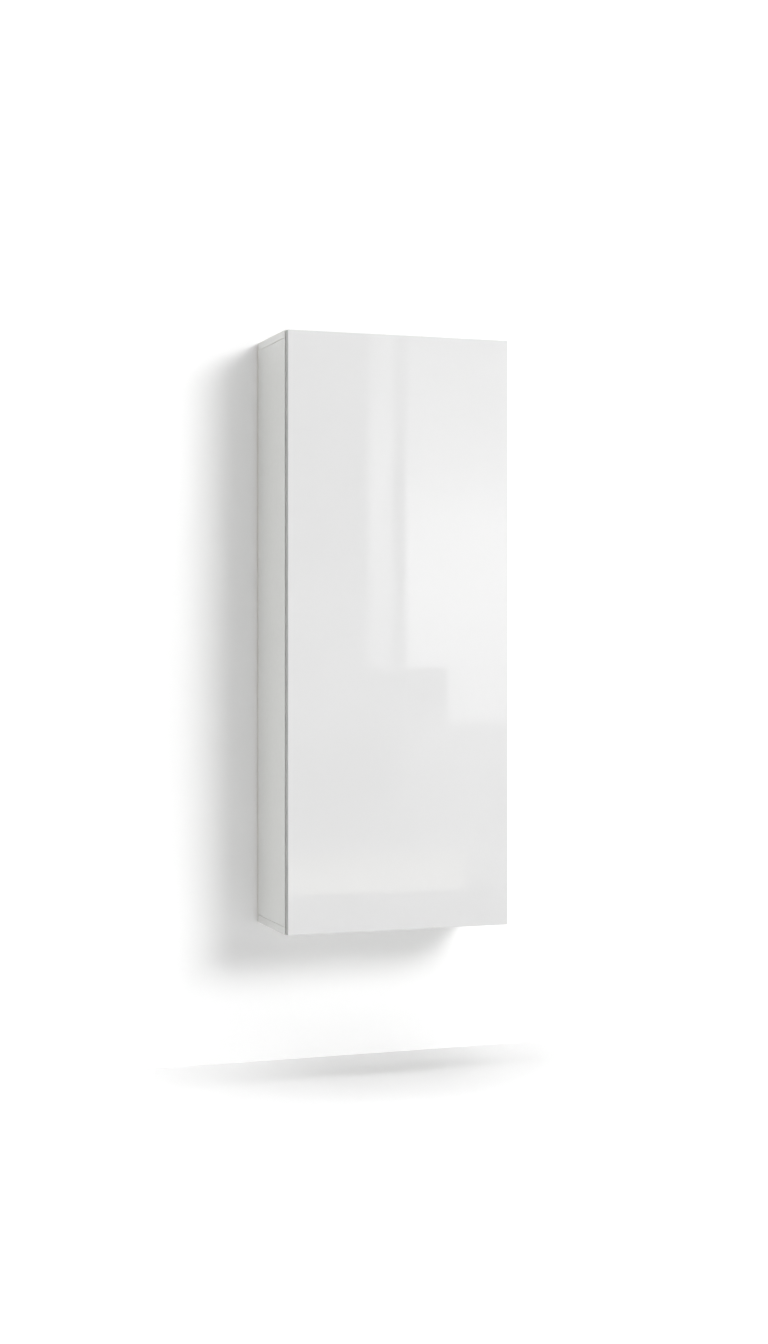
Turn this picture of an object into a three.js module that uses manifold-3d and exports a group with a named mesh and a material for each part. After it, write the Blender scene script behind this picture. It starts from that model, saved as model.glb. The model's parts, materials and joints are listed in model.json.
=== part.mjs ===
// A tall wall-hung cabinet with one handleless gloss door, in millimetres.
// Frame: +Z up, +X to the right as seen from the front, the room is at -Y and the wall is the plane Y = 0.
// The origin is the middle of the hanging rail's back face, which lies on the wall.
import * as THREE from "three";
import { mergeVertices } from "three/addons/utils/BufferGeometryUtils.js";
import Module from "manifold-3d";

const wasm = await Module();
wasm.setup();

// ---------------------------------------------------------------- driving dimensions
const width = 470;
const height = 1200;
const carcassDepth = 200;
const board = 15; // thickness of every carcass board, of the shelves and of the door
const topAboveRail = 42; // from the origin up to the cabinet's top face
const gap = 0.3; // left between pieces that touch
const through = 1; // how far a cutting tool runs past the face it opens

const doorGap = 3; // from the carcass's front edges to the door: the press-in travel of the latch
const doorReveal = { side: 1, end: 2 }; // how far the door stays inside the carcass's outline

const backThickness = 3;
const backRecess = 18; // from the wall to the back panel: room for the rail and hooks
const grooveDepth = 6;

const camRadius = 7.2;
const camDepth = 12;
const camSlot = { halfWidth: 0.9, halfLength: 3.6, depth: 3 };
const camFromEnd = 24; // from a side panel's end to its cam locks
const camFromFront = 45;
const camFromWall = 88;

const shelfCount = 3;
const shelfSetback = 8; // from the carcass's front edges
const shelfSideGap = 1;
const systemLine = 37; // from the front edges to the front drilling row and the hinge screws
const holePitch = 32;
const pinHole = { radius: 2.6, depth: 10 };
const pin = { stem: 2.2, reach: 9, plate: 1.5, halfPlate: 4.5, foot: 1.6, drop: 3, rib: 1.6 };

const rail = { halfLength: 215, sheet: 2, low: -18, jog: 5, lip: 16, offset: 6, hole: 3.5, holeZ: -8 };
const railHoleShares = [0.3, 0.6, 0.9]; // of the rail's half length, on each side of its middle
const hook = { width: 14, sheet: 2.4, fromFront: 13, low: -28, tip: 11 };
const hanger = { width: 25.7, depth: 42, low: -38, wall: 3, room: 12, chamfer: 8 };
const adjuster = { radius: 3.8, bore: 4.2, length: 9, recess: 2, slot: 0.6, slotDepth: 1.4 };

const hingeFromEnd = 120; // from the cabinet's top and bottom to the outer hinges
const cup = { radius: 17.5, depth: 11.5, wall: 1.1, bore: 12.5, edge: 5 }; // edge: door left beside the bore
const flange = { sheet: 1.2, ring: 19.2, near: 2, far: 16.5, halfLength: 28, corner: 5 };
const cupScrew = { fromCentre: 9.5, halfSpacing: 22.5, radius: 2.2 };
const cheek = { inner: 7.2, outer: 8.4 };
const pivot = { radius: 1.25, eye: 2.4, grip: 0.6 };
const plate = { sheet: 2, rear: -52, front: -22, halfLength: 27, screw: 3.2 };
const plateRail = { top: 26, rear: -60, front: -16, halfWidth: 6.2, screw: 2.4 };
const armHole = { radius: 3.6, slotRadius: 2.6, slotAhead: 18, reach: 20 };
// A link is a cranked bar: its pin in the arm's nose, its elbow and its end inside the cup, door shut.
// The two links of a hinge work side by side, the outer one above the middle and the inner one below.
const outerLink = { path: [[34.5, 6.5], [16.5, 10.5], [12.5, 8]], band: [0.5, 6.5], halfHeight: 1.3 };
const innerLink = { path: [[28, 8.5], [18, 11.5], [11.8, 9.1]], band: [-5.5, -0.5], halfHeight: 1 };

const latch = { halfHeight: 8, width: 18.2, length: 82, corner: 2.5, proud: 3, boreLength: 78 };
const latchEar = { sheet: 2.7, near: 14, far: 46, halfHeight: 20, screwOffset: 14.5, screw: 2 };
const plunger = { radius: 4.6, bore: 5, length: 68, fromSide: 11 };
const magnetThickness = 3;
const strike = { radius: 8, thickness: 1 };

// ---------------------------------------------------------------- places worked out from them
const halfWidth = width / 2;
const innerHalf = halfWidth - board; // inner faces of the side panels
const zTop = topAboveRail;
const zBottom = zTop - height;
const zCeiling = zTop - board;
const zFloor = zBottom + board;
const zMiddle = (zTop + zBottom) / 2;
const yFront = -carcassDepth;
const yDoorBack = yFront - doorGap;
const yDoorFront = yDoorBack - board;
const yBackRear = -backRecess;
const yBackFront = yBackRear - backThickness;

const compartment = (zCeiling - zFloor - shelfCount * board) / (shelfCount + 1);
const shelfNames = ["lower", "middle", "upper"];
const shelfBottoms = shelfNames.map((_, i) => zFloor + compartment * (i + 1) + board * i);
const shelfFront = yFront + shelfSetback;
const shelfBack = yBackFront - through;
const pinRows = { front: yFront + systemLine, back: shelfBack - systemLine };
const camRows = { front: yFront + camFromFront, back: -camFromWall };
const sides = { left: -1, right: 1 };

// ---------------------------------------------------------------- finishes
const lacquer = { color: 0xeeeeec, roughness: 0.08, metalness: 0 };
const melamine = { color: 0xe4e4df, roughness: 0.45, metalness: 0 };
const hardboard = { color: 0xdedcd6, roughness: 0.6, metalness: 0 };
const nickel = { color: 0xc4c5c6, roughness: 0.25, metalness: 1 };
const castZinc = { color: 0xa2a4a6, roughness: 0.55, metalness: 1 };
const zincSteel = { color: 0xaeb0b2, roughness: 0.4, metalness: 1 };
const whitePlastic = { color: 0xe8e8e6, roughness: 0.4, metalness: 0 };
const greyPlastic = { color: 0xb9bbbc, roughness: 0.45, metalness: 0 };

// ---------------------------------------------------------------- small helpers
const cabinet = new THREE.Group();

function solidOf(geometry) {
  const bare = geometry.clone();
  bare.deleteAttribute("normal");
  bare.deleteAttribute("uv");
  const merged = mergeVertices(bare, 1e-4);
  return new wasm.Manifold(
    new wasm.Mesh({
      numProp: 3,
      vertProperties: new Float32Array(merged.attributes.position.array),
      triVerts: new Uint32Array(merged.index.array),
    }),
  );
}

function geometryOf(solid) {
  const mesh = solid.getMesh();
  const geometry = new THREE.BufferGeometry();
  geometry.setAttribute("position", new THREE.BufferAttribute(mesh.vertProperties, 3));
  geometry.setIndex(new THREE.BufferAttribute(mesh.triVerts, 1));
  geometry.computeVertexNormals();
  return geometry;
}

function join(...pieces) {
  return geometryOf(pieces.map(solidOf).reduce((sum, piece) => sum.add(piece)));
}

function cut(from, ...tools) {
  return geometryOf(tools.map(solidOf).reduce((rest, tool) => rest.subtract(tool), solidOf(from)));
}

// A block between two corners.
function block(x0, x1, y0, y1, z0, z1) {
  const geometry = new THREE.BoxGeometry(Math.abs(x1 - x0), Math.abs(y1 - y0), Math.abs(z1 - z0));
  return geometry.translate((x0 + x1) / 2, (y0 + y1) / 2, (z0 + z1) / 2);
}

// A round bar that starts at (x, y, z) and runs along one axis; a negative length runs backwards.
function rod(axis, x, y, z, length, radius, facets = 16) {
  const geometry = new THREE.CylinderGeometry(radius, radius, Math.abs(length), facets);
  geometry.translate(0, Math.abs(length) / 2, 0);
  if (length < 0) geometry.rotateX(Math.PI);
  if (axis === "x") geometry.rotateZ(-Math.PI / 2);
  if (axis === "z") geometry.rotateX(Math.PI / 2);
  return geometry.translate(x, y, z);
}

function shapeOf(points) {
  return new THREE.Shape(points.map(([x, y]) => new THREE.Vector2(x, y)));
}

// A shape in the XY plane, made thick between z0 and z1.
function slab(shape, z0, z1) {
  const options = { depth: z1 - z0, bevelEnabled: false, curveSegments: 5 };
  return new THREE.ExtrudeGeometry(shape, options).translate(0, 0, z0);
}

// An outline of (y, z) points, made thick between x0 and x1.
function sideProfile(points, x0, x1) {
  const basis = new THREE.Matrix4().makeBasis(
    new THREE.Vector3(0, 1, 0),
    new THREE.Vector3(0, 0, 1),
    new THREE.Vector3(1, 0, 0),
  );
  return slab(shapeOf(points), x0, x1).applyMatrix4(basis);
}

// A rectangle of (x, z) with round corners, made thick between y0 and y1.
function roundedPad(x0, x1, z0, z1, corner, y0, y1) {
  const shape = new THREE.Shape();
  shape.moveTo(x0 + corner, z0);
  shape.absarc(x1 - corner, z0 + corner, corner, -Math.PI / 2, 0);
  shape.absarc(x1 - corner, z1 - corner, corner, 0, Math.PI / 2);
  shape.absarc(x0 + corner, z1 - corner, corner, Math.PI / 2, Math.PI);
  shape.absarc(x0 + corner, z0 + corner, corner, Math.PI, Math.PI * 1.5);
  return slab(shape, 0, y1 - y0)
    .rotateX(Math.PI / 2)
    .translate(0, y1, 0);
}

function addPart(name, geometry, finish, parent = cabinet) {
  const mesh = new THREE.Mesh(geometry, new THREE.MeshStandardMaterial(finish));
  mesh.name = name;
  parent.add(mesh);
}

// ---------------------------------------------------------------- carcass boards
function sidePanel(side) {
  const inner = side * innerHalf;
  const mouth = inner - side * through;
  const panel = block(inner, side * halfWidth, yFront, 0, zFloor + gap, zCeiling - gap);
  const groove = block(
    mouth,
    inner + side * grooveDepth,
    yBackFront - gap,
    yBackRear + gap,
    zFloor - through,
    zCeiling + through,
  );
  const tools = [groove];
  for (const y of Object.values(pinRows)) {
    for (const shelfBottom of shelfBottoms) {
      for (const step of [-1, 0, 1]) {
        const z = shelfBottom - pin.drop + step * holePitch;
        tools.push(rod("x", mouth, y, z, side * (through + pinHole.depth), pinHole.radius, 12));
      }
    }
  }
  for (const y of Object.values(camRows)) {
    for (const z of [zFloor + camFromEnd, zCeiling - camFromEnd]) {
      tools.push(rod("x", mouth, y, z, side * (through + camDepth + gap), camRadius + gap, 24));
    }
  }
  return cut(panel, ...tools);
}

// The top and bottom boards lie over the ends of the side panels.
function endPanel(zInner, zOuter) {
  const outward = Math.sign(zOuter - zInner);
  const groove = block(
    -innerHalf - grooveDepth,
    innerHalf + grooveDepth,
    yBackFront - gap,
    yBackRear + gap,
    zInner - outward * through,
    zInner + outward * grooveDepth,
  );
  return cut(block(-halfWidth, halfWidth, yFront, 0, zInner, zOuter), groove);
}

addPart("side_panel_left", sidePanel(sides.left), melamine);
addPart("side_panel_right", sidePanel(sides.right), melamine);
addPart("top_panel", endPanel(zCeiling, zTop), melamine);
addPart("bottom_panel", endPanel(zFloor, zBottom), melamine);

// ---------------------------------------------------------------- back panel and hanging gear
const hookTop = rail.lip + gap + hook.sheet;
const hangerRear = yBackFront - gap;
const hangerFront = hangerRear - hanger.depth;
const hangerHigh = zCeiling - hanger.wall;
const hangerMiddle = innerHalf - gap - hanger.width / 2;
const adjusterHeights = { height: hangerHigh - hanger.room, depth: hangerHigh - 34 };

// The hooks reach through two slots near the back panel's top.
function backPanel() {
  const reach = grooveDepth - gap;
  const sheet = block(
    -innerHalf - reach,
    innerHalf + reach,
    yBackRear,
    yBackFront,
    zFloor - reach,
    zCeiling + reach,
  );
  const slots = Object.values(sides).map((side) => {
    const x0 = side * hangerMiddle - hook.width / 2 - 2;
    return block(x0, x0 + hook.width + 4, 0, yBackFront - through, rail.jog, hookTop + 3);
  });
  return cut(sheet, ...slots);
}

// A Z-shaped strip: a flat flange on the wall and a lip that stands off it, which the hooks hold.
function wallRail() {
  const bendLoss = rail.sheet * (Math.SQRT2 - 1);
  const lipFront = -rail.offset - rail.sheet;
  const jogTop = rail.jog + rail.offset;
  const profile = [
    [0, rail.low],
    [0, rail.jog],
    [-rail.offset, jogTop],
    [-rail.offset, rail.lip],
    [lipFront, rail.lip],
    [lipFront, jogTop - bendLoss],
    [-rail.sheet, rail.jog - bendLoss],
    [-rail.sheet, rail.low],
  ];
  const screwHoles = Object.values(sides).flatMap((side) =>
    railHoleShares.map((share) =>
      rod("y", side * share * rail.halfLength, lipFront, rail.holeZ, -lipFront + through, rail.hole),
    ),
  );
  return cut(sideProfile(profile, -rail.halfLength, rail.halfLength), ...screwHoles);
}

// The moulded housing is hollow behind its front wall, where the hook hangs on its adjusting screws.
function hangerHousing(side) {
  const middle = side * hangerMiddle;
  const half = hanger.width / 2;
  const body = block(middle - half, middle + half, hangerRear, hangerFront, hanger.low, hangerHigh);
  const room = block(
    middle - hook.width / 2 - 1,
    middle + hook.width / 2 + 1,
    hangerRear + through,
    hangerFront + hanger.room,
    hanger.low + 8,
    hookTop + 2,
  );
  const chamfer = sideProfile(
    [
      [hangerFront - through, hanger.low - through],
      [hangerFront + hanger.chamfer, hanger.low - through],
      [hangerFront - through, hanger.low + hanger.chamfer],
    ],
    -halfWidth,
    halfWidth,
  );
  const bores = Object.values(adjusterHeights).map((z) =>
    rod("y", middle, hangerFront - through, z, through + hanger.room + through, adjuster.bore, 20),
  );
  return cut(body, room, chamfer, ...bores);
}

// A strip that stands in the housing, runs back over the rail's lip and turns down behind it.
function hangerHook(side) {
  const x0 = side * hangerMiddle - hook.width / 2;
  const x1 = x0 + hook.width;
  const front = hangerFront + hook.fromFront;
  const tipFront = -rail.offset + gap;
  return join(
    block(x0, x1, front, front + hook.sheet, hook.low, hookTop),
    block(x0, x1, front, tipFront + hook.sheet, rail.lip + gap, hookTop),
    block(x0, x1, tipFront, tipFront + hook.sheet, hook.tip, hookTop),
  );
}

// A cross-slotted screw head, for lifting the hook or drawing it in.
function adjusterScrew(x, z) {
  const face = hangerFront + adjuster.recess;
  const head = rod("y", x, face, z, adjuster.length, adjuster.radius, 20);
  const reach = adjuster.radius * 0.7;
  const { slot, slotDepth } = adjuster;
  return cut(
    head,
    block(x - slot, x + slot, face - through, face + slotDepth, z - reach, z + reach),
    block(x - reach, x + reach, face - through, face + slotDepth, z - slot, z + slot),
  );
}

addPart("back_panel", backPanel(), hardboard);
addPart("wall_rail", wallRail(), zincSteel);
for (const [sideName, side] of Object.entries(sides)) {
  addPart(`hanger_${sideName}`, hangerHousing(side), whitePlastic);
  addPart(`hanger_hook_${sideName}`, hangerHook(side), zincSteel);
  for (const [job, z] of Object.entries(adjusterHeights)) {
    addPart(`hanger_screw_${job}_${sideName}`, adjusterScrew(side * hangerMiddle, z), nickel);
  }
}

// ---------------------------------------------------------------- cam locks of the carcass joints
function camLock(side, y, z) {
  const face = side * innerHalf;
  const drum = rod("x", face, y, z, side * camDepth, camRadius, 24);
  const slots = [1, 3].map((eighth) =>
    block(
      face - side * through,
      face + side * camSlot.depth,
      -camSlot.halfWidth,
      camSlot.halfWidth,
      -camSlot.halfLength,
      camSlot.halfLength,
    )
      .rotateX((eighth * Math.PI) / 4)
      .translate(0, y, z),
  );
  return cut(drum, ...slots);
}

for (const [sideName, side] of Object.entries(sides)) {
  for (const [rowName, y] of Object.entries(camRows)) {
    addPart(`cam_lock_bottom_${sideName}_${rowName}`, camLock(side, y, zFloor + camFromEnd), castZinc);
    addPart(`cam_lock_top_${sideName}_${rowName}`, camLock(side, y, zCeiling - camFromEnd), castZinc);
  }
}

// ---------------------------------------------------------------- shelves and their pins
// A stem in the side panel, a foot against it, and a plate with a rib below that the shelf lies on.
function shelfPin(side, y, shelfBottom) {
  const face = side * (innerHalf - gap);
  const high = shelfBottom - gap;
  const z = shelfBottom - pin.drop;
  const { halfPlate } = pin;
  return join(
    rod("x", face, y, z, side * pin.reach, pin.stem, 12),
    rod("x", face, y, z, -side * (pin.reach - through), pin.rib, 12),
    block(face, face - side * pin.reach, y - halfPlate, y + halfPlate, high - pin.plate, high),
    block(face, face - side * pin.foot, y - halfPlate, y + halfPlate, z - halfPlate - through, high),
  );
}

const shelfHalf = innerHalf - shelfSideGap;
shelfNames.forEach((shelfName, i) => {
  const z = shelfBottoms[i];
  addPart(`shelf_${shelfName}`, block(-shelfHalf, shelfHalf, shelfFront, shelfBack, z, z + board), melamine);
  for (const [sideName, side] of Object.entries(sides)) {
    for (const [rowName, y] of Object.entries(pinRows)) {
      addPart(`shelf_pin_${shelfName}_${sideName}_${rowName}`, shelfPin(side, y, z), nickel);
    }
  }
});

// ---------------------------------------------------------------- hinges
// Each hinge has its own frame: x runs inwards from the right side panel's outer face, y runs forwards
// from the carcass's front edge, and z is up. Half a turn about Z places it.
const hingeHeights = {
  bottom: zBottom + hingeFromEnd,
  middle: zMiddle + 3 * holePitch, // clear of the middle shelf
  top: zTop - hingeFromEnd,
};
const cupCentre = doorReveal.side + cup.edge + cup.radius;

// A round pot let into the door, with a thin rim and two ears on the door's back face.
function hingeCup() {
  const rim = doorGap - gap;
  const { near, far, halfLength, corner, sheet } = flange;
  const [x0, x1] = [cupCentre + near, cupCentre + far];
  const ears = roundedPad(x0, x1, -halfLength, halfLength, corner, rim - sheet, rim);
  const ring = rod("y", cupCentre, rim - sheet, 0, sheet, flange.ring, 48);
  const pot = rod("y", cupCentre, rim - sheet, 0, cup.depth + sheet, cup.radius, 48);
  const mouth = rim - sheet - through;
  const cavityDepth = rim + cup.depth - cup.wall - mouth;
  const cavity = rod("y", cupCentre, mouth, 0, cavityDepth, cup.radius - cup.wall, 48);
  const screwHoles = [-cupScrew.halfSpacing, cupScrew.halfSpacing].map((z) =>
    rod("y", cupCentre + cupScrew.fromCentre, mouth, z, 4, cupScrew.radius),
  );
  return cut(join(pot, ring, ears), cavity, ...screwHoles);
}

// A channel whose web faces the inside of the cabinet. Its two cheeks rise to a nose that holds the pins
// and reaches into the cup when the door is shut.
function hingeArm() {
  const outline = new THREE.Shape();
  outline.moveTo(18.8, -66);
  outline.lineTo(26.5, -66);
  outline.lineTo(29.5, -58);
  outline.lineTo(30.5, -16);
  outline.quadraticCurveTo(32, -8, 37.2, -2);
  outline.lineTo(37.2, 6.6);
  outline.quadraticCurveTo(37, 9.2, 34.5, 9.4);
  outline.lineTo(27.5, 12.1);
  outline.quadraticCurveTo(23.6, 12.6, 23.2, 9.5);
  outline.lineTo(23.2, 1);
  outline.quadraticCurveTo(18.8, -4, 18.8, -10);
  const channel = new THREE.Shape();
  channel.moveTo(17, -68);
  channel.lineTo(25.6, -68);
  channel.lineTo(28.3, -58);
  channel.lineTo(29.3, -16);
  channel.quadraticCurveTo(30.8, -8, 32, -3.4);
  channel.lineTo(44, -0.5);
  channel.lineTo(44, 15);
  channel.lineTo(17, 15);
  const sheetMetal = cut(
    slab(outline, -cheek.outer, cheek.outer),
    slab(channel, -cheek.inner, cheek.inner),
    rod("x", board, -systemLine, 0, armHole.reach, armHole.radius),
    rod("x", board, -systemLine + armHole.slotAhead, 0, armHole.reach, armHole.slotRadius),
  );
  const grip = cheek.inner + pivot.grip;
  const upper = outerLink.band[0];
  const lower = innerLink.band[1];
  return join(
    sheetMetal,
    rod("z", ...outerLink.path[0], upper, grip - upper, pivot.radius, 12),
    rod("z", ...innerLink.path[0], lower, -grip - lower, pivot.radius, 12),
  );
}

// A winged plate on the side panel, with a raised rail that the arm's channel sits over.
function mountingPlate() {
  const base = board + gap;
  const wings = block(base, base + plate.sheet, plate.rear, plate.front, -plate.halfLength, plate.halfLength);
  const { top, rear, front, halfWidth: half } = plateRail;
  const raised = block(base, top, rear, front, -half, half);
  const screwHoles = [-holePitch / 2, holePitch / 2].map((z) =>
    rod("x", base - through, -systemLine, z, plate.sheet + 2 * through, plate.screw),
  );
  const armScrewHole = rod("x", base + plate.sheet * 3, -systemLine, 0, top - base, plateRail.screw);
  return cut(join(wings, raised), ...screwHoles, armScrewHole);
}

// A bar along the link's path with round corners, and a running hole for the arm's pin at its start.
function linkBar({ path, band: [z0, z1], halfHeight }) {
  const bars = path.slice(1).map(([bx, by], i) => {
    const [ax, ay] = path[i];
    const bar = block(0, Math.hypot(bx - ax, by - ay), -halfHeight, halfHeight, z0, z1);
    return bar.rotateZ(Math.atan2(by - ay, bx - ax)).translate(ax, ay, 0);
  });
  const corners = path.map(([x, y], i) => rod("z", x, y, z0, z1 - z0, i === 0 ? pivot.eye : halfHeight));
  const pinHoleTool = rod("z", ...path[0], z0 - through, z1 - z0 + 2 * through, pivot.radius + gap, 12);
  return cut(join(...bars, ...corners), pinHoleTool);
}

for (const [place, z] of Object.entries(hingeHeights)) {
  const hinge = new THREE.Group();
  hinge.position.set(halfWidth, yFront, z);
  hinge.rotation.z = Math.PI;
  cabinet.add(hinge);
  addPart(`hinge_${place}_cup`, hingeCup(), nickel, hinge);
  addPart(`hinge_${place}_arm`, hingeArm(), nickel, hinge);
  addPart(`hinge_${place}_plate`, mountingPlate(), nickel, hinge);
  addPart(`hinge_${place}_outer_link`, linkBar(outerLink), nickel, hinge);
  addPart(`hinge_${place}_inner_link`, linkBar(innerLink), nickel, hinge);
}

// ---------------------------------------------------------------- door
function doorPanel() {
  const { side, end } = doorReveal;
  const leaf = block(-halfWidth + side, halfWidth - side, yDoorFront, yDoorBack, zBottom + end, zTop - end);
  const cupBores = Object.values(hingeHeights).map((z) =>
    rod("y", halfWidth - cupCentre, yDoorBack + through, z, -through - cup.bore, cup.radius + gap, 48),
  );
  return cut(leaf, ...cupBores);
}
addPart("door_panel", doorPanel(), lacquer);

// ---------------------------------------------------------------- push-to-open latch
const latchHeight = zMiddle + compartment / 2;
const latchSide = -innerHalf + gap;
const latchFront = yFront + latch.proud;
const plungerX = -innerHalf + plunger.fromSide;
const plungerTip = yDoorBack + strike.thickness + 2 * gap;

// A bored case along the side panel with a screwed ear above and below.
function latchHousing() {
  const z0 = latchHeight - latch.halfHeight;
  const z1 = latchHeight + latch.halfHeight;
  const rear = latchFront + latch.length;
  const housing = roundedPad(latchSide, latchSide + latch.width, z0, z1, latch.corner, latchFront, rear);
  const ear = block(
    latchSide,
    latchSide + latchEar.sheet,
    latchFront + latchEar.near,
    latchFront + latchEar.far,
    latchHeight - latchEar.halfHeight,
    latchHeight + latchEar.halfHeight,
  );
  const bore = rod("y", plungerX, latchFront - through, latchHeight, latch.boreLength, plunger.bore, 24);
  const yScrews = latchFront + (latchEar.near + latchEar.far) / 2;
  const screwHoles = [-latchEar.screwOffset, latchEar.screwOffset].map((dz) =>
    rod("x", latchSide - through, yScrews, latchHeight + dz, latchEar.sheet + 2 * through, latchEar.screw),
  );
  return cut(join(housing, ear), bore, ...screwHoles);
}

function onPlungerAxis(y, length, radius) {
  return rod("y", plungerX, y, latchHeight, length, radius, 32);
}

addPart("latch_housing", latchHousing(), greyPlastic);
addPart("latch_magnet", onPlungerAxis(plungerTip, magnetThickness, plunger.radius), nickel);
addPart(
  "latch_plunger",
  onPlungerAxis(plungerTip + magnetThickness + gap, plunger.length, plunger.radius),
  whitePlastic,
);
addPart("strike_plate", onPlungerAxis(yDoorBack + gap, strike.thickness, strike.radius), nickel);

export default cabinet;
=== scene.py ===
"""A tall wall-hung cabinet with one high-gloss door: its looks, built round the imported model, in metres."""
import json
import math

import bmesh
import bpy
from mathutils import Matrix, Vector


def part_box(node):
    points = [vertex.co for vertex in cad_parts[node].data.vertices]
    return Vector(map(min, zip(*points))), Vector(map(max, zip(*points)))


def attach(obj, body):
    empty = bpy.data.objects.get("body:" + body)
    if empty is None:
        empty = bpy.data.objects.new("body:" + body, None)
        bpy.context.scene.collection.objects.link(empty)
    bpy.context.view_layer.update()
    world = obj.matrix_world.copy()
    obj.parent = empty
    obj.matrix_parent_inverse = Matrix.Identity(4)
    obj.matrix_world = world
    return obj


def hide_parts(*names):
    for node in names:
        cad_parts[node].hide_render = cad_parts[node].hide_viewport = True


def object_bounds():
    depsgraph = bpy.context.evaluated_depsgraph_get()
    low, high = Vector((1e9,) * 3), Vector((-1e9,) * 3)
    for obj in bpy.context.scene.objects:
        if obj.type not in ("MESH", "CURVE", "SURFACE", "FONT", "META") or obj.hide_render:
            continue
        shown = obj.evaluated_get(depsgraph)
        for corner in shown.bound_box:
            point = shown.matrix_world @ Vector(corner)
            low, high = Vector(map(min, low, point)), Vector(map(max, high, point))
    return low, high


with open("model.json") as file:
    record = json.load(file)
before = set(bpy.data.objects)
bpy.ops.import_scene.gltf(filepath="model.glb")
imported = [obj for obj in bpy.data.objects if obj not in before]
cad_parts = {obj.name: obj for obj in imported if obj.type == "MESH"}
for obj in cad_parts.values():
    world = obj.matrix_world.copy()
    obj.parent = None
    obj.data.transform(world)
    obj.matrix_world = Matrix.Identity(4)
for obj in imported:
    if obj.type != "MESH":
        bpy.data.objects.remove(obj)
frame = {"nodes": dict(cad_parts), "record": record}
cad_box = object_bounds()
MM = 0.001
SAME_POINT = 0.005 * MM  # corners closer than this are one corner
SAME_PLANE = math.radians(0.6)  # faces turned less than this lie in one plane


# ---------------------------------------------------------------- material helpers
def node_material(name):
    mat = bpy.data.materials.new(name)
    mat.use_nodes = True
    tree = mat.node_tree
    shader = tree.nodes["Principled BSDF"]
    return mat, tree, shader


def node(tree, kind, **inputs):
    made = tree.nodes.new(kind)
    for key, value in inputs.items():
        made.inputs[key.replace("_", " ")].default_value = value
    return made


def coordinates(tree, stretch=(1, 1, 1)):
    place = tree.nodes.new("ShaderNodeTexCoord")
    mapping = tree.nodes.new("ShaderNodeMapping")
    mapping.inputs["Scale"].default_value = stretch
    tree.links.new(place.outputs["Object"], mapping.inputs["Vector"])
    return mapping.outputs["Vector"]


def noise(tree, vector, scale, detail=3.0, roughness=0.55, distortion=0.0):
    made = node(
        tree, "ShaderNodeTexNoise", Scale=scale, Detail=detail, Roughness=roughness, Distortion=distortion
    )
    tree.links.new(vector, made.inputs["Vector"])
    return made.outputs["Fac"]


def ramp(tree, fac, low, high, dark, light):
    """fac between low and high, read as a value or colour between dark and light."""
    made = tree.nodes.new("ShaderNodeMapRange")
    made.inputs["From Min"].default_value = low
    made.inputs["From Max"].default_value = high
    tree.links.new(fac, made.inputs["Value"])
    if isinstance(dark, (int, float)):
        made.inputs["To Min"].default_value = dark
        made.inputs["To Max"].default_value = light
        return made.outputs["Result"]
    mix = tree.nodes.new("ShaderNodeMix")
    mix.data_type = "RGBA"
    mix.inputs["A"].default_value = (*dark, 1)
    mix.inputs["B"].default_value = (*light, 1)
    tree.links.new(made.outputs["Result"], mix.inputs["Factor"])
    return mix.outputs["Result"]


def bumps(tree, shader, layers):
    """Adds bump layers of (height socket, distance in metres, strength) to the shader's normal."""
    last = None
    for height, distance, strength in layers:
        bump = node(tree, "ShaderNodeBump", Strength=strength, Distance=distance)
        tree.links.new(height, bump.inputs["Height"])
        if last:
            tree.links.new(last, bump.inputs["Normal"])
        last = bump.outputs["Normal"]
    tree.links.new(last, shader.inputs["Normal"])
    tree.links.new(last, shader.inputs["Coat Normal"])


def lacquer(name, low, high):
    """Sprayed high gloss: faint orange peel and slow waves that bend what it reflects."""
    mat, tree, shader = node_material(name)
    at = coordinates(tree)
    tree.links.new(ramp(tree, noise(tree, at, 2.3, 2), 0.35, 0.65, low, high), shader.inputs["Base Color"])
    tree.links.new(ramp(tree, noise(tree, at, 9, 4), 0.3, 0.7, 0.03, 0.055), shader.inputs["Roughness"])
    shader.inputs["IOR"].default_value = 1.5
    shader.inputs["Coat Weight"].default_value = 0.35
    shader.inputs["Coat Roughness"].default_value = 0.02
    bumps(
        tree,
        shader,
        [
            (noise(tree, at, 1.7, 1), 0.004, 0.10),
            (noise(tree, at, 260, 2), 0.0002, 0.035),
        ],
    )
    return mat


def melamine(name, low, high):
    """Melamine-faced board: a fine pearl embossing with a little mottling."""
    mat, tree, shader = node_material(name)
    at = coordinates(tree)
    mottle = noise(tree, at, 140, 4, 0.6)
    tree.links.new(ramp(tree, mottle, 0.3, 0.7, low, high), shader.inputs["Base Color"])
    tree.links.new(ramp(tree, noise(tree, at, 90, 3), 0.3, 0.7, 0.36, 0.5), shader.inputs["Roughness"])
    cells = node(tree, "ShaderNodeTexVoronoi", Scale=520, Randomness=1.0)
    cells.feature = "SMOOTH_F1"
    tree.links.new(at, cells.inputs["Vector"])
    bumps(
        tree,
        shader,
        [
            (cells.outputs["Distance"], 0.0003, 0.12),
            (noise(tree, at, 1400, 2), 0.0001, 0.15),
        ],
    )
    return mat


def edge_band(name, low, high, along):
    """Extruded plastic edging with faint drawn lines along its length."""
    mat, tree, shader = node_material(name)
    at = coordinates(tree, along)
    lines = noise(tree, at, 900, 3)
    tree.links.new(ramp(tree, lines, 0.3, 0.7, low, high), shader.inputs["Base Color"])
    tree.links.new(ramp(tree, noise(tree, at, 240, 2), 0.3, 0.7, 0.28, 0.4), shader.inputs["Roughness"])
    bumps(tree, shader, [(lines, 0.0001, 0.2)])
    return mat


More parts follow.
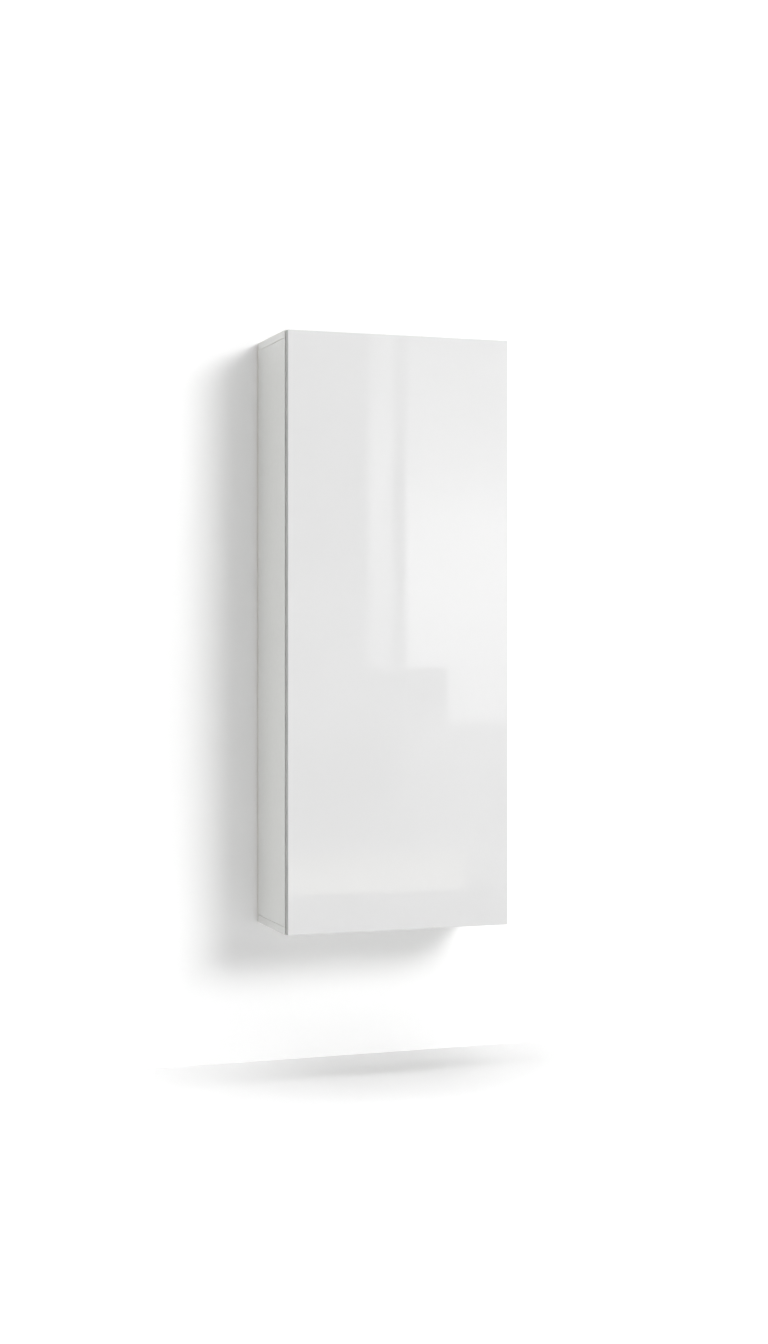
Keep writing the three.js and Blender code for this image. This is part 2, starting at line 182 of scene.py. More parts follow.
def edge_bands(name, low, high):
    """The same edging for strips that run along X, Y and Z."""
    stretches = ((0.02, 1, 1), (1, 0.02, 1), (1, 1, 0.02))
    return [edge_band(f"{name}_{axis}", low, high, stretch) for axis, stretch in zip("xyz", stretches)]


def fibreboard(name, face_low, face_high, raw_low, raw_high):
    """Hardboard with a printed white face to the room and its raw brown felt side to the wall."""
    mat, tree, shader = node_material(name)
    at = coordinates(tree)
    face = ramp(tree, noise(tree, at, 160, 4), 0.3, 0.7, face_low, face_high)
    fibres = noise(tree, coordinates(tree, (1, 1, 0.25)), 420, 5, 0.7, 1.5)
    raw = ramp(tree, fibres, 0.3, 0.72, raw_low, raw_high)
    geometry = tree.nodes.new("ShaderNodeNewGeometry")
    split = tree.nodes.new("ShaderNodeSeparateXYZ")
    tree.links.new(geometry.outputs["Normal"], split.inputs["Vector"])
    rear = ramp(tree, split.outputs["Y"], 0.3, 0.6, 0.0, 1.0)
    mix = tree.nodes.new("ShaderNodeMix")
    mix.data_type = "RGBA"
    tree.links.new(rear, mix.inputs["Factor"])
    tree.links.new(face, mix.inputs["A"])
    tree.links.new(raw, mix.inputs["B"])
    tree.links.new(mix.outputs["Result"], shader.inputs["Base Color"])
    tree.links.new(ramp(tree, fibres, 0.3, 0.7, 0.5, 0.72), shader.inputs["Roughness"])
    bumps(tree, shader, [(fibres, 0.0002, 0.25)])
    return mat


def plated(name, low, high, roughness, relief=0.12):
    """Plated metal: a faint cloudiness in the plating over the fine lines of the rolled sheet."""
    mat, tree, shader = node_material(name)
    at = coordinates(tree)
    tree.links.new(ramp(tree, noise(tree, at, 60, 3), 0.3, 0.7, low, high), shader.inputs["Base Color"])
    shader.inputs["Metallic"].default_value = 1.0
    lines = noise(tree, coordinates(tree, (1, 0.08, 1)), 2600, 3, 0.6)
    tree.links.new(ramp(tree, lines, 0.3, 0.7, *roughness), shader.inputs["Roughness"])
    bumps(tree, shader, [(lines, 0.00002, relief)])
    return mat


def galvanised(name, low, high):
    """Zinc-plated steel with its crystal flakes."""
    mat, tree, shader = node_material(name)
    at = coordinates(tree)
    flakes = node(tree, "ShaderNodeTexVoronoi", Scale=140, Randomness=1.0)
    tree.links.new(at, flakes.inputs["Vector"])
    split = tree.nodes.new("ShaderNodeSeparateColor")
    tree.links.new(flakes.outputs["Color"], split.inputs["Color"])
    tree.links.new(ramp(tree, split.outputs["Red"], 0.0, 1.0, low, high), shader.inputs["Base Color"])
    tree.links.new(ramp(tree, split.outputs["Green"], 0.0, 1.0, 0.3, 0.46), shader.inputs["Roughness"])
    shader.inputs["Metallic"].default_value = 1.0
    bumps(tree, shader, [(noise(tree, at, 600, 4), 0.00005, 0.3)])
    return mat


def chipboard(name, low, high):
    """The raw cut edge of a board: pressed wood flakes of many tans."""
    mat, tree, shader = node_material(name)
    at = coordinates(tree)
    flakes = node(tree, "ShaderNodeTexVoronoi", Scale=620, Randomness=1.0)
    tree.links.new(at, flakes.inputs["Vector"])
    split = tree.nodes.new("ShaderNodeSeparateColor")
    tree.links.new(flakes.outputs["Color"], split.inputs["Color"])
    tree.links.new(ramp(tree, split.outputs["Red"], 0.0, 1.0, low, high), shader.inputs["Base Color"])
    tree.links.new(ramp(tree, split.outputs["Green"], 0.0, 1.0, 0.75, 0.95), shader.inputs["Roughness"])
    bumps(tree, shader, [(noise(tree, at, 800, 4), 0.0002, 0.5)])
    return mat


def moulded(name, low, high):
    """Injection-moulded plastic with a fine spark-eroded texture."""
    mat, tree, shader = node_material(name)
    at = coordinates(tree)
    tree.links.new(ramp(tree, noise(tree, at, 45, 3), 0.3, 0.7, low, high), shader.inputs["Base Color"])
    tree.links.new(ramp(tree, noise(tree, at, 320, 3), 0.3, 0.7, 0.36, 0.5), shader.inputs["Roughness"])
    bumps(tree, shader, [(noise(tree, at, 1900, 3), 0.0001, 0.3)])
    return mat


door_lacquer = lacquer("door_lacquer_gloss", (0.742, 0.742, 0.742), (0.755, 0.755, 0.755))
door_back = melamine("door_back_melamine", (0.757, 0.759, 0.742), (0.767, 0.769, 0.752))
door_edge = edge_bands("door_edge_band", (0.39, 0.39, 0.385), (0.45, 0.45, 0.44))
board_face = melamine("carcass_melamine", (0.728, 0.732, 0.712), (0.738, 0.742, 0.722))
shelf_face = melamine("shelf_melamine", (0.755, 0.758, 0.738), (0.768, 0.771, 0.751))
board_edge = edge_bands("carcass_edge_band", (0.722, 0.725, 0.705), (0.735, 0.738, 0.718))
back_face = fibreboard(
    "back_hardboard", (0.745, 0.743, 0.72), (0.758, 0.756, 0.733), (0.19, 0.125, 0.075), (0.36, 0.26, 0.17)
)
raw_edge = chipboard("raw_chipboard", (0.22, 0.14, 0.075), (0.5, 0.36, 0.22))
nickel = plated("hinge_nickel", (0.70, 0.69, 0.67), (0.74, 0.73, 0.71), (0.2, 0.27))
nickel_fine = plated("screw_nickel", (0.74, 0.73, 0.71), (0.79, 0.78, 0.76), (0.15, 0.22))
cast_zinc = plated("cam_cast_zinc", (0.42, 0.43, 0.44), (0.52, 0.53, 0.54), (0.42, 0.55), 0.5)
zinc_steel = galvanised("rail_galvanised", (0.5, 0.52, 0.54), (0.68, 0.7, 0.72))
white_plastic = moulded("hanger_white_plastic", (0.76, 0.76, 0.745), (0.82, 0.82, 0.805))
grey_plastic = moulded("latch_grey_plastic", (0.36, 0.37, 0.375), (0.43, 0.44, 0.445))

SLOT_FINISH = {
    "door_lacquer": door_lacquer,
    "carcass_board": board_face,
    "shelf_board": shelf_face,
    "back_board": back_face,
    "zinc_steel": zinc_steel,
    "nickel": nickel,
    "cam_zinc": cast_zinc,
    "hanger_plastic": white_plastic,
    "latch_grey": grey_plastic,
    "latch_white": white_plastic,
}


# ---------------------------------------------------------------- CAD nodes: finish and softened edges
def weighted(obj):
    """Shades flat faces flat and leaves the roundness to the bevels between them."""
    normals = obj.modifiers.new("normals", "WEIGHTED_NORMAL")
    normals.keep_sharp = True
    normals.weight = 100
    return obj


def soften(obj, width):
    """Makes a CAD node's flat faces whole and rounds the edges between them, all by modifiers."""
    for face in obj.data.polygons:
        face.use_smooth = True
    weld = obj.modifiers.new("weld", "WELD")
    weld.merge_threshold = SAME_POINT
    flat = obj.modifiers.new("flat", "DECIMATE")
    flat.decimate_type = "DISSOLVE"
    flat.angle_limit = SAME_PLANE
    bevel = obj.modifiers.new("edges", "BEVEL")
    bevel.width = width
    bevel.segments = 2
    bevel.limit_method = "ANGLE"
    bevel.angle_limit = math.radians(32)
    weighted(obj)


# How far the edges are rounded, in mm. A node takes the first line that its name starts with.
EDGE_WIDTHS = (
    ("hanger_hook", 0.3),
    ("hanger_screw", 0.2),
    ("hanger", 0.6),
    ("wall_rail", 0.3),
    ("back_panel", 0.2),
    ("cam_lock", 0.2),
    ("shelf_pin", 0.18),
    ("latch_housing", 0.5),
    ("latch", 0.4),
    ("strike", 0.25),
    ("hinge", 0.2),
)
for part in frame["record"]["subparts"]:
    obj = frame["nodes"][part["node"]]
    finish = SLOT_FINISH[part["material_slot"]]
    if not obj.data.materials:
        obj.data.materials.append(finish)
    for index in range(len(obj.data.materials)):
        obj.data.materials[index] = finish
    widths = [width for start, width in EDGE_WIDTHS if part["node"].startswith(start)]
    if widths:
        soften(obj, widths[0] * MM)


# ---------------------------------------------------------------- places taken from the frame
def mid(node, axis):
    """The middle of a CAD node along one axis."""
    low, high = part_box(node)
    return (low[axis] + high[axis]) / 2


DOOR_LOW, DOOR_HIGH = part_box("door_panel")
SIDE_LOW, SIDE_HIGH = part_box("side_panel_right")
HINGES = {place: mid(f"hinge_{place}_cup", 2) for place in ("bottom", "middle", "top")}
BAND = 0.8 * MM  # thickness of the plastic edging on every board
SEAM = 0.06 * MM  # line left between a board and its edging
CUT_SHORT = 0.35 * MM  # how far a raw end stays back from the board it butts against
BOARD_ROUNDING = 0.3 * MM
STRIP_ROUNDING = 0.38 * MM
SHEET_ROUNDING = 0.45 * MM
DOOR_SHEET = 1.2 * MM  # thickness of the gloss sheet and the grey edging on the door


def at_hinge(u, v, z, place):
    """A point in a hinge's own frame, in mm.

    u goes inwards from the side panel's outer face, v forwards from its front edge, and z up from the
    hinge's middle."""
    return Vector((SIDE_HIGH.x - u * MM, SIDE_LOW.y - v * MM, HINGES[place] + z * MM))


# ---------------------------------------------------------------- mesh helpers
def finish_piece(name, mesh, material, body):
    obj = bpy.data.objects.new(name, mesh)
    bpy.context.scene.collection.objects.link(obj)
    if not mesh.materials:
        mesh.materials.append(material)
    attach(obj, body)
    return obj


def to_mesh(bm, name):
    bmesh.ops.recalc_face_normals(bm, faces=bm.faces)
    mesh = bpy.data.meshes.new(name)
    bm.to_mesh(mesh)
    bm.free()
    mesh.shade_smooth()
    return mesh


def bevelled_box(name, low, high, width, material, body, segments=2):
    """A block between two corners with rounded edges."""
    low, high = Vector(low), Vector(high)
    bm = bmesh.new()
    bmesh.ops.create_cube(bm, size=1.0)
    bmesh.ops.scale(bm, vec=high - low, verts=bm.verts)
    bmesh.ops.translate(bm, vec=(low + high) / 2, verts=bm.verts)
    bmesh.ops.bevel(bm, geom=bm.edges[:], offset=width, segments=segments, profile=0.5, affect="EDGES")
    return weighted(finish_piece(name, to_mesh(bm, name), material, body))


def clean_copy(node):
    """A CAD node's shape with its flat faces whole again, ready to be edited and bevelled."""
    bm = bmesh.new()
    bm.from_mesh(frame["nodes"][node].data)
    bmesh.ops.remove_doubles(bm, verts=bm.verts, dist=SAME_POINT)
    bmesh.ops.dissolve_limit(bm, angle_limit=SAME_PLANE, verts=bm.verts, edges=bm.edges)
    return bm


def bevel_sharp(bm, width):
    """Rounds every edge that turns by more than 30 degrees."""
    sharp = [e for e in bm.edges if e.is_manifold and e.calc_face_angle(0) > math.radians(30)]
    bmesh.ops.bevel(bm, geom=sharp, offset=width, segments=2, profile=0.5, affect="EDGES", clamp_overlap=True)


def shift_face(bm, axis, at, by):
    """Moves the corners that lie in the plane axis = at along that axis."""
    for vert in bm.verts:
        if abs(vert.co[axis] - at) < 2 * SAME_POINT:
            vert.co[axis] += by


def strip_box(low, high, band, faces, order):
    """The corners of the strip on faces[order], cut back where an earlier strip covers its end."""
    axis, side = faces[order]
    strip_low, strip_high = Vector(low), Vector(high)
    if side > 0:
        strip_low[axis] = high[axis] - band
    else:
        strip_high[axis] = low[axis] + band
    for other, other_side in faces[:order]:
        if other == axis:
            continue
        if other_side > 0:
            strip_high[other] -= band + SEAM
        else:
            strip_low[other] += band + SEAM
    return strip_low, strip_high


def banded_board(node, material, edging, body, faces, band=BAND, skin=None, raw=()):
    """Replaces a board by its core and one strip on each named face (axis, side).

    An earlier face's strip covers the ends of the later ones. A skin is the finish of the front face's sheet.
    The faces in raw show the chips, and the upper and lower ones are cut a little short."""
    low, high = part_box(node)
    bm = clean_copy(node)
    for axis, side in faces:
        shift_face(bm, axis, (low, high)[side > 0][axis], -side * (band + SEAM))
    for axis, side in raw:
        if axis == 2:
            shift_face(bm, axis, (low, high)[side > 0][axis], -side * CUT_SHORT)
    bevel_sharp(bm, BOARD_ROUNDING)
    bm.normal_update()
    for axis, side in raw:
        face_at = (low, high)[side > 0][axis]
        for face in bm.faces:
            if face.normal[axis] * side > 0.9 and abs(face.calc_center_median()[axis] - face_at) < MM:
                face.material_index = 1
    core = weighted(finish_piece(f"{node}_core", to_mesh(bm, f"{node}_core"), material, body))
    if raw:
        core.data.materials.append(raw_edge)
    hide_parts(node)
    for order, (axis, side) in enumerate(faces):
        strip_low, strip_high = strip_box(low, high, band, faces, order)
        if skin and axis == 1:
            bevelled_box(f"{node}_face", strip_low, strip_high, SHEET_ROUNDING, skin, body, 3)
            continue
        name = f"{node}_edging_{'xyz'[axis]}_{'low' if side < 0 else 'high'}"
        size = strip_high - strip_low
        along = max(range(3), key=lambda i: size[i])
        bevelled_box(name, strip_low, strip_high, STRIP_ROUNDING, edging[along], body)


def lathe(profile, segments=32):
    """A solid of revolution about +Z from (radius, height) points in metres, first and last on the axis."""
    bm = bmesh.new()
    rings = []
    for radius, height in profile:
        if radius == 0:
            rings.append([bm.verts.new((0, 0, height))])
            continue
        turn = [2 * math.pi * i / segments for i in range(segments)]
        rings.append([bm.verts.new((radius * math.cos(a), radius * math.sin(a), height)) for a in turn])
    for inner, outer in zip(rings, rings[1:]):
        for i in range(segments):
            j = (i + 1) % segments
            if len(inner) == 1:
                bm.faces.new((inner[0], outer[i], outer[j]))
            elif len(outer) == 1:
                bm.faces.new((inner[i], outer[0], inner[j]))
            else:
                bm.faces.new((inner[i], outer[i], outer[j], inner[j]))
    bmesh.ops.recalc_face_normals(bm, faces=bm.faces)
    return bm


def cross_cutter(reach, arm, top, depth):
    """A tapered four-armed punch that points down -Z, from just above top to depth below it."""
    outline = [
        (arm, arm), (arm, reach), (-arm, reach), (-arm, arm), (-reach, arm), (-reach, -arm),
        (-arm, -arm), (-arm, -reach), (arm, -reach), (arm, -arm), (reach, -arm), (reach, arm),
    ]
    bm = bmesh.new()
    high = [bm.verts.new((x * 1.08, y * 1.08, top + 0.4 * MM)) for x, y in outline]
    low = [bm.verts.new((x * 0.5, y * 0.5, top - depth)) for x, y in outline]
    bm.faces.new(high)
    bm.faces.new(low)
    for i in range(12):
        j = (i + 1) % 12
        bm.faces.new((high[i], high[j], low[j], low[i]))
    bmesh.ops.recalc_face_normals(bm, faces=bm.faces)
    return bm


def cross_head(name, radius, crown, skirt):
    """A screw head that faces +Z with its rim at z = 0: a shallow crown above and a cone below."""
    profile = [(0, crown)]
    for step in range(1, 5):
        angle = step / 5 * math.pi / 2
        profile.append((radius * math.sin(angle), crown * math.cos(angle)))
    profile += [(radius, 0.05 * MM), (radius, -0.12 * MM), (radius * 0.58, -skirt), (0, -skirt)]
    body = bpy.data.objects.new(name, to_mesh(lathe(profile), name))
    cutter = cross_cutter(radius * 0.56, radius * 0.115, crown, min(skirt, radius * 0.5))
    punch = bpy.data.objects.new(name + "_punch", to_mesh(cutter, name + "_punch"))
    for obj in (body, punch):
        bpy.context.scene.collection.objects.link(obj)
    cut = body.modifiers.new("recess", "BOOLEAN")
    cut.operation = "DIFFERENCE"
    cut.solver = "EXACT"
    cut.object = punch
    bevel = body.modifiers.new("edges", "BEVEL")
    bevel.width = 0.08 * MM
    bevel.segments = 2
    bevel.limit_method = "ANGLE"
    bevel.angle_limit = math.radians(50)
    normals = body.modifiers.new("normals", "WEIGHTED_NORMAL")
    normals.keep_sharp = True
    bpy.context.view_layer.update()
    mesh = bpy.data.meshes.new_from_object(body.evaluated_get(bpy.context.evaluated_depsgraph_get()))
    for obj in (body, punch):
        bpy.data.objects.remove(obj)
    mesh.name = name
    mesh.shade_smooth()
    return mesh


def place_turned(name, mesh, at, facing, turn, material, body):
    """A piece whose own +Z faces a direction, at a point in the model's frame."""
    placed = mesh.copy()
    placed.name = name
    spin = Matrix.Rotation(turn, 4, "Z")
    aim = Vector((0, 0, 1)).rotation_difference(Vector(facing)).to_matrix().to_4x4()
    placed.transform(Matrix.Translation(at) @ aim @ spin)
    return finish_piece(name, placed, material, body)


# ---------------------------------------------------------------- the door and the boards
LEFT, RIGHT, FRONT, REAR, DOWN, UP = (0, -1), (0, 1), (1, -1), (1, 1), (2, -1), (2, 1)

banded_board(
    "door_panel", door_back, door_edge, "door", [FRONT, LEFT, RIGHT, DOWN, UP],
    band=DOOR_SHEET, skin=door_lacquer,
)
for name in ("side_panel_left", "side_panel_right"):
    banded_board(name, board_face, board_edge, "carcass", [FRONT], raw=[REAR, DOWN, UP])
for name in ("top_panel", "bottom_panel"):
    banded_board(name, board_face, board_edge, "carcass", [FRONT, LEFT, RIGHT], raw=[REAR])
for level in ("lower", "middle", "upper"):
    banded_board(
        f"shelf_{level}", shelf_face, board_edge, f"{level}_shelf", [FRONT, LEFT, RIGHT],
        raw=[REAR],
    )


# ---------------------------------------------------------------- screws and rivets of the hinges and latch
# Each head's radius, crown and skirt.
flat_head = cross_head("flat_head", 3.3 * MM, 0.55 * MM, 1.1 * MM)
plate_head = cross_head("plate_head", 3.9 * MM, 0.8 * MM, 1.6 * MM)
arm_head = cross_head("arm_head", 3.1 * MM, 0.5 * MM, 3.0 * MM)
slide_head = cross_head("slide_head", 2.2 * MM, 0.4 * MM, 3.0 * MM)
pan_head = cross_head("pan_head", 3.2 * MM, 1.5 * MM, 0.6 * MM)
RIVET_PROFILE = ((0, 0.5), (1.1, 0.45), (1.75, 0.22), (1.9, 0), (1.9, -0.1), (0, -0.1))
rivet = to_mesh(lathe([(radius * MM, height * MM) for radius, height in RIVET_PROFILE], 24), "rivet")

TO_WALL, TO_LEFT, TO_RIGHT = (0, 1, 0), (-1, 0, 0), (1, 0, 0)

# Where the screws and rivets sit in a hinge's own frame, as (u, v) in mm, and their heights above its middle.
CUP_SCREW, CUP_SCREW_Z = (33, 1.45), 22.5
PLATE_SCREW, PLATE_SCREW_Z = (17.35, -37), 16
FIXING_SCREW = (29.3, -37)
SIDE_SCREW = (29.4, -19)
LINK_RIVETS, RIVET_Z = {"outer": (34.5, 6.5), "inner": (28, 8.5)}, 8.4
ENDS = (("low", -1), ("high", 1))
LATCH_FLANGE = 2.85 * MM  # thickness of the latch housing's flanges
LATCH_SCREW_Y, LATCH_SCREW_Z = -167 * MM, 14.5 * MM


def hinge_fasteners(place, count):
    """The screws and rivets of one hinge. count turns the recesses so that no two hinges look alike."""
    for (label, side), turn in zip(ENDS, (0.35, 1.1)):
        place_turned(
            f"hinge_{place}_cup_screw_{label}", flat_head, at_hinge(*CUP_SCREW, side * CUP_SCREW_Z, place),
            TO_WALL, turn + count, nickel_fine, "door",
        )
    for (label, side), turn in zip(ENDS, (0.9, 0.2)):
        place_turned(
            f"hinge_{place}_plate_screw_{label}", plate_head,
            at_hinge(*PLATE_SCREW, side * PLATE_SCREW_Z, place),
            TO_LEFT, turn + 2 * count, nickel_fine, "carcass",
        )
    place_turned(
        f"hinge_{place}_fixing_screw", arm_head, at_hinge(*FIXING_SCREW, 0, place), TO_LEFT,
        0.4 + count, nickel_fine, "carcass",
    )
    place_turned(
        f"hinge_{place}_side_screw", slide_head, at_hinge(*SIDE_SCREW, 0, place), TO_LEFT,
        0.8 - count, nickel_fine, "carcass",
    )
    for label, spot in LINK_RIVETS.items():
        for end, side in ENDS:
            place_turned(
                f"hinge_{place}_{label}_rivet_{end}", rivet, at_hinge(*spot, side * RIVET_Z, place),
                (0, 0, side), 0, nickel_fine, "carcass",
            )


def latch_screws():
    """Two pan heads on the flanges of the latch's housing."""
    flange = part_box("latch_housing")[0].x + LATCH_FLANGE
    for (label, side), turn in zip(ENDS, (0.3, 1.0)):
        place_turned(
            f"latch_screw_{label}", pan_head,
            Vector((flange, LATCH_SCREW_Y, mid("latch_housing", 2) + side * LATCH_SCREW_Z)),
            TO_RIGHT, turn, nickel_fine, "carcass",
        )


for count, place in enumerate(HINGES):
    hinge_fasteners(place, count)
latch_screws()


# ---------------------------------------------------------------- the room: a white wall and a pale floor
def white_out(tree, middle, reach, seen_glow, rise):
    """A painted glow that grows away from middle: softly at about reach from it, and to full white far beyond.
    It is least near middle, which leaves a painted shade round the cabinet.
    """
    place = tree.nodes.new("ShaderNodeTexCoord")
    shifted = tree.nodes.new("ShaderNodeVectorMath")
    shifted.operation = "SUBTRACT"
    shifted.inputs[1].default_value = middle
    shares = tree.nodes.new("ShaderNodeVectorMath")
    shares.operation = "DIVIDE"
    shares.inputs[1].default_value = reach
    distance = tree.nodes.new("ShaderNodeVectorMath")
    distance.operation = "LENGTH"
    tree.links.new(place.outputs["Object"], shifted.inputs[0])
    tree.links.new(shifted.outputs["Vector"], shares.inputs[0])
    tree.links.new(shares.outputs["Vector"], distance.inputs[0])
    near = ramp(tree, distance.outputs["Value"], 0.3, 1.9, seen_glow, seen_glow + rise)
    near.node.interpolation_type = "SMOOTHSTEP"
    away = ramp(tree, distance.outputs["Value"], 2.2, 6.0, 0.0, 0.8)
    total = tree.nodes.new("ShaderNodeMath")
    total.operation = "ADD"
    tree.links.new(near, total.inputs[0])
    tree.links.new(away, total.inputs[1])
    return total.outputs["Value"]


def stage_material(name, albedo, glow, seen_glow, middle, reach, rise):
    """White paint, seen from its front only, so that views from behind and below aren't blocked.

    glow is the light that it gives to the rest of the scene. The camera sees the painted glow of white_out
    instead: little near the cabinet, so the stage there reads shaded, and white far away."""
    mat, tree, shader = node_material(name)
    cloud = noise(tree, coordinates(tree), 3, 3)
    tree.links.new(
        ramp(tree, cloud, 0.3, 0.7, [albedo] * 3, [albedo + 0.01] * 3), shader.inputs["Base Color"]
    )
    shader.inputs["Roughness"].default_value = 1.0
    shader.inputs["Specular IOR Level"].default_value = 0.0
    shader.inputs["Emission Color"].default_value = (1, 1, 1, 1)
    seen = tree.nodes.new("ShaderNodeLightPath")
    strength = tree.nodes.new("ShaderNodeMix")
    strength.inputs["A"].default_value = glow
    tree.links.new(seen.outputs["Is Camera Ray"], strength.inputs["Factor"])
    # The camera sees painted light here: the stage stays darker near the cabinet and turns white away from it.
    tree.links.new(white_out(tree, middle, reach, seen_glow, rise), strength.inputs["B"])
    tree.links.new(strength.outputs["Result"], shader.inputs["Emission Strength"])
    geometry = tree.nodes.new("ShaderNodeNewGeometry")
    clear = tree.nodes.new("ShaderNodeBsdfTransparent")
    mix = tree.nodes.new("ShaderNodeMixShader")
    tree.links.new(geometry.outputs["Backfacing"], mix.inputs["Fac"])
    tree.links.new(shader.outputs["BSDF"], mix.inputs[1])
    tree.links.new(clear.outputs["BSDF"], mix.inputs[2])
    tree.links.new(mix.outputs["Shader"], tree.nodes["Material Output"].inputs["Surface"])
    return mat


def stage_mesh(name, points, faces, material):
    mesh = bpy.data.meshes.new(name)
    mesh.from_pydata(points, [], faces)
    mesh.materials.append(material)
    obj = bpy.data.objects.new(name, mesh)
    bpy.context.scene.collection.objects.link(obj)
    return obj


WALL_Y = 2.5 * MM  # the wall's face, just behind the cabinet
REACH = 12.0  # how far the wall and the floor run out
FLOOR_Z = cad_box[0][2] - 0.29
HOLE = 1.5 * MM  # how far the opening behind the cabinet stays inside its outline
x0, x1 = cad_box[0][0] + HOLE, cad_box[1][0] - HOLE
z0, z1 = cad_box[0][2] + HOLE, cad_box[1][2] - HOLE
outer = [(-REACH, FLOOR_Z), (REACH, FLOOR_Z), (REACH, REACH), (-REACH, REACH)]
inner = [(x0, z0), (x1, z0), (x1, z1), (x0, z1)]
# The wall's painted glow is least round the cabinet, where its shadow falls, and whitens the wall further out.
stage_mesh(
    "room_wall",
    [(x, WALL_Y, z) for x, z in outer + inner],
    [(0, 1, 5, 4), (1, 2, 6, 5), (2, 3, 7, 6), (3, 0, 4, 7)],
    stage_material("wall_paint", 0.97, 0.035, 0.035, (-0.05, 0, -0.6), (0.7, 1, 1.1), 0.25),
)
# The floor's painted glow is least in a small ellipse at the cabinet's foot, a painted shade where the
# cabinet's shadow falls on the floor.
floor_corners = [(-REACH, -REACH), (REACH, -REACH), (REACH, WALL_Y), (-REACH, WALL_Y)]
stage_mesh(
    "room_floor",
    [(x, y, FLOOR_Z) for x, y in floor_corners],
    [(0, 1, 2, 3)],
    stage_material("floor_paint", 0.84, 0.0, 0.045, (-0.02, -0.05, FLOOR_Z), (0.34, 0.36, 1), 0.22),
)

WORLD_DIFFUSE, WORLD_MIRRORED, WORLD_SEEN = 0.09, 0.7, 1.0  # the surroundings, as each kind of ray meets them
world = bpy.data.worlds.new("studio")
bpy.context.scene.world = world
world.use_nodes = True
sky = world.node_tree
backdrop = sky.nodes["Background"]
backdrop.inputs["Color"].default_value = (1, 1, 1, 1)
ray = sky.nodes.new("ShaderNodeLightPath")
mirrored_level = ramp(sky, ray.outputs["Is Glossy Ray"], 0, 1, WORLD_DIFFUSE, WORLD_MIRRORED)
level = sky.nodes.new("ShaderNodeMix")
level.inputs["B"].default_value = WORLD_SEEN
sky.links.new(ray.outputs["Is Camera Ray"], level.inputs["Factor"])
sky.links.new(mirrored_level, level.inputs["A"])
sky.links.new(level.outputs["Result"], backdrop.inputs["Strength"])


def area_light(name, at, size, power, shape="RECTANGLE"):
    """A soft light that faces the cabinet's middle and shows in no mirror."""
    data = bpy.data.lights.new(name, "AREA")
    data.shape = shape
    data.size, data.size_y = size
    data.energy = power
    lamp = bpy.data.objects.new(name, data)
    lamp.location = at
    centre = (cad_box[0] + cad_box[1]) / 2
    lamp.rotation_euler = (centre - Vector(at)).to_track_quat("-Z", "Y").to_euler()
    bpy.context.scene.collection.objects.link(lamp)
    lamp.visible_glossy = False
    lamp.visible_camera = False


area_light("key_wide", (2.4, -6.1, 2.0), (7.2, 4.2), 58, "ELLIPSE")
area_light("key_core", (2.8, -6.1, 1.85), (3.4, 2.3), 262, "ELLIPSE")
area_light("ceiling", (0.0, -0.8, 6.0), (9.0, 1.6), 174)
area_light("left_fill", (-3.5, -1.2, -0.3), (1.6, 2.4), 16)
area_light("rear_fill", (0.6, 3.2, 0.6), (2.5, 2.5), 60)


# What the gloss door mirrors: panes of a window, its sill and the floor's edge, seen by reflections only.
def card(name, low, high, fades, colour):
    """An upright glowing pane on the plane y = low[1]. fades lists (share of its height, radiance)."""
    (ax, y, az), (bx, _, bz) = low, high
    mat, tree, shader = node_material(name + "_glow")
    place = tree.nodes.new("ShaderNodeTexCoord")
    split = tree.nodes.new("ShaderNodeSeparateXYZ")
    tree.links.new(place.outputs["Generated"], split.inputs["Vector"])
    curve = tree.nodes.new("ShaderNodeFloatCurve")
    points = curve.mapping.curves[0].points
    peak = max(radiance for _, radiance in fades)
    for index, (share, radiance) in enumerate(fades):
        point = points[index] if index < 2 else points.new(0.5, 0.5)
        point.location = (share, radiance / peak)
        point.handle_type = "AUTO_CLAMPED"
    curve.mapping.update()
    tree.links.new(split.outputs["Z"], curve.inputs["Value"])
    tree.links.new(ramp(tree, curve.outputs["Value"], 0, 1, 0.0, peak), shader.inputs["Emission Strength"])
    shader.inputs["Base Color"].default_value = (0, 0, 0, 1)
    shader.inputs["Specular IOR Level"].default_value = 0.0
    shader.inputs["Emission Color"].default_value = (*colour, 1)
    pane = stage_mesh(name, [(ax, y, az), (bx, y, az), (bx, y, bz), (ax, y, bz)], [(0, 3, 2, 1)], mat)
    for kind in ("camera", "diffuse", "shadow", "transmission", "volume_scatter"):
        setattr(pane, "visible_" + kind, False)


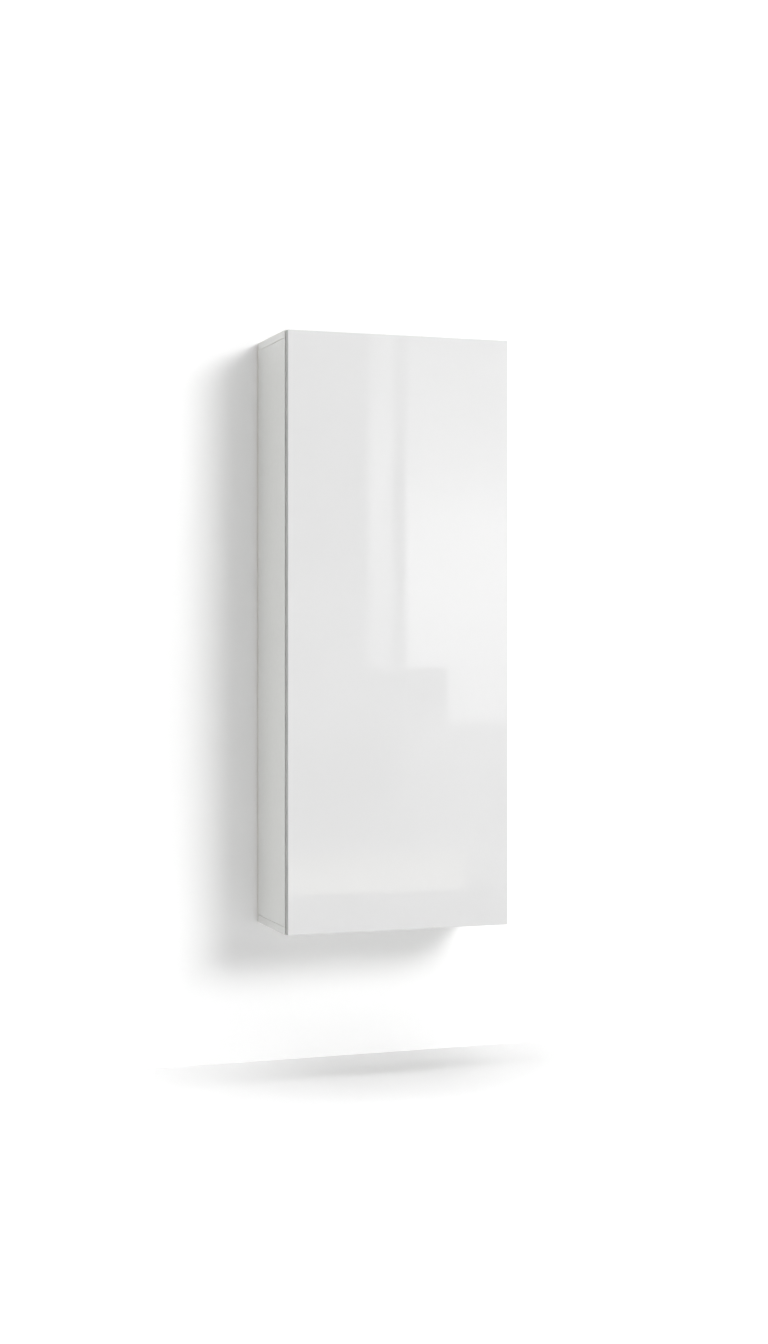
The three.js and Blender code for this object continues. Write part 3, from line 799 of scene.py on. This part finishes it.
# ---------------------------------------------------------------- camera
YAW = math.radians(19.24)
EYE_BACK, EYE_RIGHT, EYE_DOWN = 3.99, 0.18924, 0.6054  # from the door's top left corner, as the camera looks
forward = Vector((math.sin(YAW), math.cos(YAW), 0))
right = Vector((math.cos(YAW), -math.sin(YAW), 0))
corner = Vector((DOOR_LOW.x, DOOR_LOW.y, DOOR_HIGH.z))
eye = corner - EYE_BACK * forward + EYE_RIGHT * right - Vector((0, 0, EYE_DOWN))
lens = bpy.data.cameras.new("camera")
lens.lens = 54.16
lens.sensor_width = 36
lens.shift_y = -0.0266
camera = bpy.data.objects.new("camera", lens)
camera.location = eye
camera.rotation_euler = (math.pi / 2, 0, -YAW)
bpy.context.scene.collection.objects.link(camera)
bpy.context.scene.camera = camera


def mirrored(x, z, distance):
    """What the camera sees mirrored at (x, z) of the door's face, on a plane distance in front of it."""
    image = Vector((eye.x, 2 * DOOR_LOW.y - eye.y, eye.z))
    share = (image.y - DOOR_LOW.y + distance) / (image.y - DOOR_LOW.y)
    return image.x + (x - image.x) * share, image.z + (z - image.z) * share


def door_card(name, share_x, share_z, distance, fades, colour=(1, 1, 1)):
    """A card that fills the given shares of the door's width and height, as the camera sees it mirrored."""
    size = DOOR_HIGH - DOOR_LOW
    ends = [
        mirrored(DOOR_LOW.x + sx * size.x, DOOR_LOW.z + sz * size.z, distance)
        for sx, sz in zip(share_x, share_z)
    ]
    y = DOOR_LOW.y - distance
    card(name, (ends[0][0], y, ends[0][1]), (ends[1][0], y, ends[1][1]), fades, colour)


WARM = (1, 0.985, 0.92)
ROOM_FADES = [(0, 1.2), (0.27, 1.2), (0.36, 0.9), (0.5, 1.1), (0.68, 0.85), (1, 0.7)]
door_card("window_pane_left", (0.36, 0.47), (0.44, 1.08), 4.0, [(0, 1.9), (0.35, 2.2), (1, 1.1)])
door_card("window_pane_right", (0.53, 1.3), (0.44, 1.08), 4.0, [(0, 2.7), (0.25, 3.2), (0.6, 2.0), (1, 0.9)])
door_card("window_sill", (0.72, 1.3), (0.345, 0.44), 4.0, [(0, 2.3), (1, 2.6)])
door_card("window_low", (0.5, 1.3), (0.16, 0.345), 4.0, [(0, 1.1), (1, 1.35)])
door_card("window_floor", (-0.3, 0.8), (0.064, 0.13), 1.6, [(0, 2.1), (0.7, 1.8), (1, 1.6)], WARM)
door_card("window_rug", (-0.3, 1.3), (-0.15, 0.064), 1.5, [(0, 0.9), (1, 1.0)])
door_card("window_room", (-0.6, 1.9), (-0.3, 1.2), 4.3, ROOM_FADES)

view = bpy.context.scene.view_settings
view.view_transform = "Standard"
view.look = "None"
view.exposure = 0.0
view.gamma = 1.0
